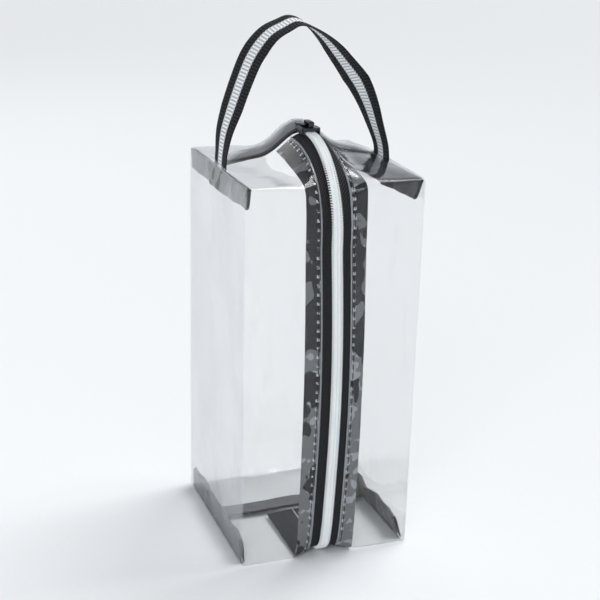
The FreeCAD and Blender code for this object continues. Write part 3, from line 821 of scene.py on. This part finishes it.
def coil(side, word):
    """Half of the zipper's coil: a wire in turns, the cord inside it and its rows of sewing."""
    step = 0.2 * MM
    centre, across, outward, at = frames_along(0.0, step)
    offset = COIL_PITCH / 2 if side > 0 else 0  # so that the two halves' turns interlock
    path = []
    for k in range(int(at[-1] / COIL_PITCH) * TURN_STEPS + 1):
        turn = k / TURN_STEPS
        s = turn * COIL_PITCH + offset
        if s > at[-1]:
            break
        angle = 2 * math.pi * turn
        point, aside, out = (at_length(s, at, field) for field in (centre, across, outward))
        reach = side * (TURN_MIDDLE + TURN_REACH * math.cos(angle))
        rise = COIL_RISE + TURN_RISE * math.sin(angle)
        path.append(point + aside * reach + out * rise)
    cord = [
        point + aside * side * CORD_MIDDLE + out * COIL_RISE
        for point, aside, out in zip(centre[::6], across[::6], outward[::6])
    ]
    tubes = [tube(path, WIRE, 6), tube(cord, CORD_RADIUS, 10)]
    for row in SEWING_ROWS:
        sewing = []
        for k, (point, aside, out) in enumerate(zip(centre[::2], across[::2], outward[::2])):
            weave = SEWING_WEAVE * math.sin(k * 2 * step * 2 * math.pi / COIL_PITCH)
            sewing.append(point + aside * side * (row + weave) + out * (COIL_RISE + SEWING_RISE))
        tubes.append(tube(sewing, SEWING_RADIUS, 5))
    verts, faces = [], []
    for points, sides in tubes:
        faces += [tuple(k + len(verts) for k in face) for face in sides]
        verts += points
    piece = new_object(f"zip_coil_{word}_wire", verts, faces, coil_white)
    return add_piece(piece, "bag", "zip_coil", f"zip_coil_{word}")


coil(1, "right")
coil(-1, "left")

# ---------------------------------------------------------------- bindings

PLY = 0.5 * MM  # the thickness of a binding's cloth
BINDING_STEPS = 90
CORNER_LUMPS, SEAM_LUMPS = 0.245 * MM, 0.14 * MM
SEAM_THICK, SEAM_GAP = 1.5 * MM, 0.5 * MM  # the seams' bindings, and their room under the film


def folded_profile(width, thick):
    """A folded strip's outline, in its own plane: its fold at (0, 0) and its cut edges at width."""
    half = thick / 2
    turn = np.linspace(math.pi / 2, 3 * math.pi / 2, 7)
    outline = []
    for radius, angles in ((half, turn), (half - PLY, turn[::-1])):
        first = math.copysign(radius, math.sin(angles[0]))
        outline.append((width, first))
        outline += [(half + radius * math.cos(a), radius * math.sin(a)) for a in angles]
        outline.append((width, -first))
    return outline


def subdivide_outline(points, longest):
    """The same closed outline with no side longer than about longest."""
    dense = []
    for a, b in zip(points, points[1:] + points[:1]):
        parts = max(1, int(math.dist(a, b) / longest))
        for k in range(parts):
            t = k / parts
            dense.append((a[0] + (b[0] - a[0]) * t, a[1] + (b[1] - a[1]) * t))
    return dense


def folded_binding(name, node_name, place, size, cloth, lumps):
    """A folded strip swept along its length; size is its length, width and thickness.
    place(s, u, v) gives a point of it: s is along it, u is from the fold to the cut edges and
    v is through its thickness."""
    length, width, thick = size
    outline = subdivide_outline(folded_profile(width, thick), 1.2 * MM)
    verts, uvs = [], []
    for i in range(BINDING_STEPS + 1):
        s = length * i / BINDING_STEPS
        for u, v in outline:
            lump = lumps * math.sin(s * 410 + u * 190) * math.sin(u * 320 + s * 130 + 1)
            verts.append(place(s, u, v + lump))
            uvs.append((u / MM, s / MM))
    count = len(outline)
    faces = grid_faces(BINDING_STEPS + 1, count, closed_columns=True)
    faces.append(tuple(range(count)))
    last = BINDING_STEPS * count
    faces.append(tuple(range(last + count - 1, last - 1, -1)))
    piece = new_object(name, verts, faces, cloth, uvs)
    fix_normals(piece)
    sharpen(piece, 60)
    return add_piece(piece, "bag", "binding", node_name)


def box_vectors(node_name):
    low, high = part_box(node_name)
    return Vector(low), Vector(high)


END_REACH = 2.0 * MM  # a binding's ends run this much past its plain solid's
DROOP, SLANT = 1.6 * MM, 5 * MM  # how far the fold sags, and its front end slants back
CRIMP, STRAP_PRESS = 0.7 * MM, 0.5 * MM  # the dents beside and under the strap


def upright_binding(name, node_name, hangs, lean, cloth):
    """A binding that hangs or stands against a side face, along the depth of the bag."""
    low, high = box_vectors(node_name)
    middle = (low.x + high.x) / 2
    inward = -math.copysign(1, middle)
    width = high.z - low.z
    length = high.y - low.y

    def place(s, u, v):
        loose = 1 - u / width  # 1 at the fold, which is free, and 0 at the sewn edges
        share = s / length
        y = low.y - END_REACH + (length + 2 * END_REACH) * share
        swing = lean * (math.sin(s * 88 + 0.6) + 0.5 * math.sin(s * 203 + middle * 40))
        over_strap = bell(y, STRAP_HALF_WIDTH, 6) if hangs else 0.0
        crimp = CRIMP * crease(y + 0.6 * STRAP_HALF_WIDTH, 1.6 * MM) - STRAP_PRESS * over_strap
        droop = DROOP * math.sin(math.pi * share)
        slant = SLANT * loose * max(0.0, 1 - share / 0.25)
        reach = u - droop * loose if hangs else width - u
        x = middle + v - inward * 0.4 * MM + inward * loose * (abs(swing) + crimp)
        return (x, y + slant, low.z + reach)

    size = (length, width, high.x - low.x)
    return folded_binding(name, node_name, place, size, cloth, CORNER_LUMPS)


CORNERS = {
    "top_left": (True, 1.2 * MM, satin),
    # the right-hand top binding takes the satin's shaded copy: painted shade
    "top_right": (True, 1.5 * MM, shaded_satin),
    "bottom_left": (False, 1.2 * MM, satin),
    "bottom_right": (False, 2.2 * MM, satin),
}
for corner, (hangs, lean, cloth) in CORNERS.items():
    upright_binding(f"{corner}_binding", f"{corner}_corner_binding", hangs, lean, cloth)


def seam_binding(name, node_name, top):
    """A binding along the seam that runs across the top or the bottom, under the film."""
    low, high = box_vectors(node_name)
    under = FILM + SEAM_GAP + SEAM_THICK / 2
    sections = {}

    def height(x, y):
        key = round(x, 6)
        if key not in sections:
            back = loop_at(x)[HALF_COUNT:]
            near_end = np.abs(back[:, 2] - (CROWN if top else 0)) < 30 * MM
            sections[key] = back[near_end & (np.abs(back[:, 1]) < HALF_DEPTH - 2 * MM)]
        rows = sections[key]
        order = np.argsort(rows[:, 1])
        return float(np.interp(y, rows[order, 1], rows[order, 2]))

    def place(s, u, v):
        x, y = low.x + s, high.y - u
        return (x, y, height(x, y) + (-under if top else under) + v)

    size = (high.x - low.x, high.y - low.y, SEAM_THICK)
    return folded_binding(name, node_name, place, size, seam_satin if top else satin, SEAM_LUMPS)


seam_binding("top_seam_binding_strip", "top_seam_binding", True)
seam_binding("bottom_seam_binding_strip", "bottom_seam_binding", False)

# ---------------------------------------------------------------- stitches

# the rings of one stitch: a share of its length, and a share of its radius
STITCH_RINGS = [(-0.12, 0.35), (-0.04, 0.75), (0.12, 1), (0.5, 1.05)]
STITCH_RINGS += [(0.88, 1), (1.04, 0.75), (1.12, 0.35)]
STITCH_SIDES = 6
HEM_PROUD, BINDING_PROUD = 0.08 * MM, 0.1 * MM  # how far the thread's middle stands off
SEWN_INSET = 2.5 * MM  # from a corner binding's sewn edges to its stitches


def stitches(name, places, replaced):
    """One piece of short rounded stitches, each from one point to another."""
    verts, faces = [], []
    for first, last in places:
        first, last = np.array(first), np.array(last)
        along = last - first
        direction = unit(along)
        side = np.cross(direction, [0.1, 0.2, 0.97])
        if np.linalg.norm(side) < 0.3:
            side = np.cross(direction, [0.9, 0.3, 0.1])
        side = unit(side)
        up = np.cross(direction, side)
        start = len(verts)
        for share, size in STITCH_RINGS:
            for k in range(STITCH_SIDES):
                angle = 2 * math.pi * k / STITCH_SIDES
                aside = side * math.cos(angle) + up * math.sin(angle)
                verts.append(first + along * share + STITCH_RADIUS * size * aside)
        faces += grid_faces(len(STITCH_RINGS), STITCH_SIDES, start, True)
        faces.append(tuple(range(start + STITCH_SIDES - 1, start - 1, -1)))
        faces.append(tuple(range(len(verts) - STITCH_SIDES, len(verts))))
    piece = new_object(name, verts, faces, thread)
    return add_piece(piece, "bag", "thread", replaced)


def hem_row(x):
    """Stitches along one edge of the zipper's opening, just proud of the film."""
    points, _, outward, at = frames_along(x, 0.4 * MM)
    places = []
    s = 1.5 * MM
    while s + STITCH_LENGTH < at[-1]:
        ends = (s, s + STITCH_LENGTH)
        row = [at_length(t, at, points) + at_length(t, at, outward) * HEM_PROUD for t in ends]
        places.append(row)
        s += STITCH_PITCH
    return places


def binding_rows():
    """Stitches along each corner binding, on its inner side near its sewn edges."""
    places = []
    for corner, (hangs, _, _) in CORNERS.items():
        low, high = box_vectors(f"{corner}_corner_binding")
        x = high.x + BINDING_PROUD if low.x < 0 else low.x - BINDING_PROUD
        z = high.z - SEWN_INSET if hangs else low.z + SEWN_INSET
        y = low.y + 3 * MM
        while y + STITCH_LENGTH < high.y:
            places.append(((x, y, z), (x, y + STITCH_LENGTH, z)))
            y += STITCH_PITCH
    return places


stitches("hem_stitches_right", hem_row(STITCH_LINE), "zip_stitches_right")
stitches("hem_stitches_left", hem_row(-STITCH_LINE), "zip_stitches_left")
stitches("binding_stitches", binding_rows(), "corner_stitches")

# ---------------------------------------------------------------- handle

STRAP_THICK = 1.3 * MM
STRAP_COLUMNS = 41
RIB_HEIGHT, RIB_ROOM, SCALLOP = 0.1 * MM, 0.12 * MM, 0.4 * MM
EDGE_SHARE = 0.35  # the thickness left at the strap's edges
# the loop's middle line as (x, height) in millimetres: its legs above the hinge line, and its
# crown from the highest point
LEFT_LEG = [(-46.6, 5), (-42.4, 18), (-37.4, 32), (-31.2, 46), (-22.5, 57)]
LOOP_CROWN = [(-13.6, -2.6), (-6.5, 0), (1.8, -3.0)]
RIGHT_LEG = [(12, 54), (22.6, 42), (32, 30), (38.4, 18), (43.2, 6)]
# the strap's twist in degrees, by the share of its length from the left
STRAP_TWIST = [(0, 0), (0.08, 0), (0.2, 14), (0.36, 18), (0.5, 8)]
STRAP_TWIST += [(0.62, -14), (0.72, -24), (0.84, -8), (0.93, 0), (1, 0)]


def strap_line():
    """The strap's middle line in the plane of the handle, from the left root to the right."""
    left, left_high = box_vectors("handle_end_left")
    right, right_high = box_vectors("handle_end_right")
    x_left = (left.x + left_high.x) / 2
    x_right = (right.x + right_high.x) / 2
    top = HANDLE_TOP - STRAP_THICK / 2 - 0.2 * MM
    points = [
        (x_left, left.z + 0.6 * MM),
        (x_left, (left.z + SHOULDER) / 2 + 3 * MM),
        (x_left + 0.6 * MM, SHOULDER + 8 * MM),
    ]
    for line, base in ((LEFT_LEG, HANDLE_HINGE_Z), (LOOP_CROWN, top), (RIGHT_LEG, HANDLE_HINGE_Z)):
        points += [(x * MM, base + rise * MM) for x, rise in line]
    points += [
        (x_right - 0.9 * MM, SHOULDER + 7 * MM),
        (x_right, right.z + 6 * MM),
        (x_right, right.z + 0.6 * MM),
    ]
    return smooth_line(points, 0.4 * MM)


def smooth_line(points, step):
    """A Catmull-Rom curve through points, smoothed a little and evenly spaced by length."""
    points = np.array(points, float)
    padded = np.vstack([2 * points[0] - points[1], points, 2 * points[-1] - points[-2]])
    fine = []
    for a, b, c, d in zip(padded, padded[1:], padded[2:], padded[3:]):
        for t in np.linspace(0, 1, 24, endpoint=False):
            bend = (2 * a - 5 * b + 4 * c - d) * t**2 + (3 * b - a - 3 * c + d) * t**3
            fine.append(0.5 * (2 * b + (c - a) * t + bend))
    fine.append(points[-1])
    fine = np.array(fine)
    for _ in range(12):
        fine[1:-1] = (fine[:-2] + 2 * fine[1:-1] + fine[2:]) / 4
    return spaced(fine, step=step)[0]


def strap():
    """The striped webbing with its ribs, scalloped edges and twist, from root to root."""
    line = strap_line()
    shares, twists = zip(*STRAP_TWIST)
    length = arc_lengths(line)
    tangents = unit(np.gradient(line, axis=0))
    normals = np.column_stack([-tangents[:, 1], tangents[:, 0]])
    across = np.linspace(-1, 1, STRAP_COLUMNS)
    outer, inner, uvs = [], [], []
    for (x, z), (nx, nz), s in zip(line, normals, length):
        top_row, low_row, uv_row = [], [], []
        turn = math.radians(np.interp(s / length[-1], shares, twists))
        for k, t in enumerate(across):
            rib = math.sin(2 * math.pi * s / STRAP_RIB + (math.pi if (k // 2) % 2 else 0))
            edge = 1 - abs(t) ** 10
            scallop = SCALLOP * math.sin(2 * math.pi * s / STRAP_RIB) * abs(t) ** 20
            reach = t * (STRAP_HALF_WIDTH - SCALLOP) + math.copysign(scallop, t)
            y, aside = reach * math.cos(turn), reach * math.sin(turn)
            thick = (STRAP_THICK / 2 - RIB_ROOM) * (EDGE_SHARE + (1 - EDGE_SHARE) * edge)
            thick += RIB_HEIGHT * rib * edge
            for row, way in ((top_row, thick), (low_row, -thick)):
                out = aside + way * math.cos(turn)
                row.append((x + nx * out, y - way * math.sin(turn), z + nz * out))
            uv_row.append((y / MM, s / MM))
        outer.append(top_row)
        inner.append(low_row)
        uvs.append(uv_row)
    piece = slab("handle_strap", np.array(outer), np.array(inner), webbing, np.array(uvs))
    low, high = (0, 0, HANDLE_HINGE_Z - 12 * MM), (0, 0, HANDLE_HINGE_Z + 1 * MM)
    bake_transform(piece)
    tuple(low)
    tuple(high)
    return add_piece(piece, None, "webbing", "handle_webbing", "handle_end_left", "handle_end_right")


strap()

# ---------------------------------------------------------------- metal parts


def weld_first(data):
    """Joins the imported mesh's split corners, so that its edges can be rounded."""
    mesh = bmesh.new()
    mesh.from_mesh(data)
    bmesh.ops.remove_doubles(mesh, verts=mesh.verts, dist=0.001 * MM)
    bmesh.ops.dissolve_limit(mesh, angle_limit=math.radians(1), verts=mesh.verts, edges=mesh.edges)
    mesh.to_mesh(data)
    mesh.free()


def softened(node_name, body, slot, finish, bevel):
    """A metal part with its edges rounded off, in place of its plain solid."""
    data = frame["nodes"][node_name].data.copy()
    data.materials.clear()
    data.materials.append(finish)
    piece = linked(node_name + "_finished", data)
    rounded = piece.modifiers.new("edges", "BEVEL")
    rounded.width = bevel
    rounded.segments = 3
    rounded.limit_method = "ANGLE"
    rounded.angle_limit = math.radians(30)
    weld_first(data)
    apply_modifiers(piece)
    for polygon in piece.data.polygons:
        polygon.use_smooth = True
    sharpen(piece, 40)
    return add_piece(piece, body, slot, node_name)


softened("slider_body", "slider", "slider_metal", gunmetal, 0.45 * MM)
softened("slider_crown", "slider", "slider_metal", gunmetal, 0.35 * MM)
softened("lock_spring", "slider", "spring_steel", spring_metal, 0.06 * MM)
softened("pull_tab", "pull_tab", "slider_metal", tab_metal, 0.3 * MM)

# ---------------------------------------------------------------- stage, light and camera


def stage_floor():
    material, tree = new_material("floor_paper")
    grain = noise_socket(tree, 300, 3.0, 0.6)
    paper = node(tree, "ShaderNodeBsdfPrincipled", Roughness=0.7)
    shade = mix_colour(tree, grain, (0.80, 0.81, 0.82), (0.825, 0.835, 0.845))
    tree.links.new(shade, paper.inputs["Base Color"])
    finish_material(tree, paper.outputs[0])
    half = 20.0
    corners = [(-half, -half, 0), (half, -half, 0), (half, half, 0), (-half, half, 0)]
    floor = new_object("stage_floor", corners, [(0, 1, 2, 3)], material, smooth=False)


def area_light(name, place, size, power, colour):
    """A lit panel that faces the middle of the bag."""
    data = bpy.data.lights.new(name, "AREA")
    data.shape = "RECTANGLE"
    data.size, data.size_y = size
    data.energy = power
    data.color = colour
    lamp = linked(name, data)
    lamp.location = place
    toward = Vector((0, 0, CROWN / 2)) - lamp.location
    lamp.rotation_euler = toward.to_track_quat("-Z", "Y").to_euler()


def sun_light():
    """A wide, even light from the right and behind, like a large lit ceiling panel."""
    data = bpy.data.lights.new("ceiling", "SUN")
    data.energy = 2.35
    data.angle = math.radians(38)
    lamp = linked("ceiling", data)
    lamp.rotation_euler = Vector((0.62, 0.25, 1.0)).to_track_quat("Z", "Y").to_euler()


HORIZON, OVERHEAD = (0.845, 0.872, 0.895), (0.26, 0.27, 0.285)


def world_light():
    """A pale studio that is brightest round the horizon and darker overhead."""
    world = bpy.data.worlds.new("studio")
    bpy.context.scene.world = world
    world.use_nodes = True
    tree = world.node_tree
    direction = node(tree, "ShaderNodeSeparateXYZ")
    tree.links.new(node(tree, "ShaderNodeTexCoord").outputs["Generated"], direction.inputs[0])
    height = step_socket(tree, direction.outputs[2], 0.12, 0.6)
    shade = mix_colour(tree, height, HORIZON, OVERHEAD)
    tree.links.new(shade, tree.nodes["Background"].inputs[0])


# the photograph's view, found by fitting a camera to the bag's corners
CAMERA_PLACE = Vector((-247.23, -662.12, 375.93)) * MM
CAMERA_ANGLES = (-20.52, 18.53, 1.56)  # azimuth, elevation and roll, in degrees
CAMERA_LENS = 75.8466


def place_camera():
    azimuth, elevation, roll = (math.radians(d) for d in CAMERA_ANGLES)
    level = math.cos(elevation)
    back = Vector((math.sin(azimuth) * level, -math.cos(azimuth) * level, math.sin(elevation)))
    right = Vector((math.cos(azimuth), math.sin(azimuth), 0))
    up = back.cross(right)
    turned = right * math.cos(roll) + up * math.sin(roll)
    lifted = up * math.cos(roll) - right * math.sin(roll)
    data = bpy.data.cameras.new("camera")
    data.sensor_width = 36
    data.lens = CAMERA_LENS
    data.clip_start, data.clip_end = 0.01, 50
    camera = linked("camera", data)
    turn = Matrix((turned, lifted, back)).transposed().to_4x4()
    camera.matrix_world = Matrix.Translation(CAMERA_PLACE) @ turn
    bpy.context.scene.camera = camera


stage_floor()
world_light()
sun_light()
area_light("fill", place=(-0.9, -1.2, 0.9), size=(0.7, 1.2), power=9, colour=(0.95, 0.97, 1.0))
area_light("rim", place=(-0.4, 1.3, 1.1), size=(1.2, 0.6), power=2.5, colour=(1, 1, 1))
place_camera()
bpy.context.scene.view_settings.view_transform = "Standard"
